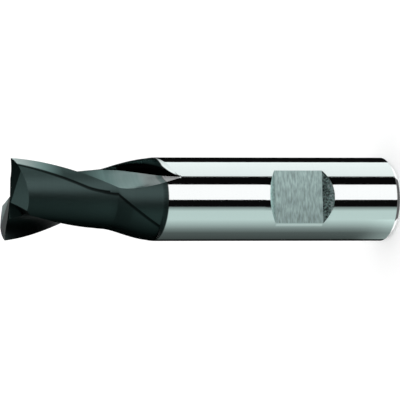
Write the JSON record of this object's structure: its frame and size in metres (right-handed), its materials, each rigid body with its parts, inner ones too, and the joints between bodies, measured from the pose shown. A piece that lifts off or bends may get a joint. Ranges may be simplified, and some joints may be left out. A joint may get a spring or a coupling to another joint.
{
  "type": "slot drill",
  "caption": "Coated milling cutter for slots with helical flutes that cut to the centre, on a plain round shank with a clamping flat.",
  "frame": {"origin": "centre of the shank's end face, on which the tool stands", "axes": "+Z along the tool's axis towards the cutting end; -Y is the outward normal of the clamping flat"},
  "size_m": [0.016, 0.016, 0.079],
  "materials": {
    "coated_steel": "satin dark grey hard coating on ground steel",
    "ground_steel": "bright ground and polished"
  },
  "bodies": {
    "root": {"slot_drill": "ground_steel"}
  },
  "joints": []
}
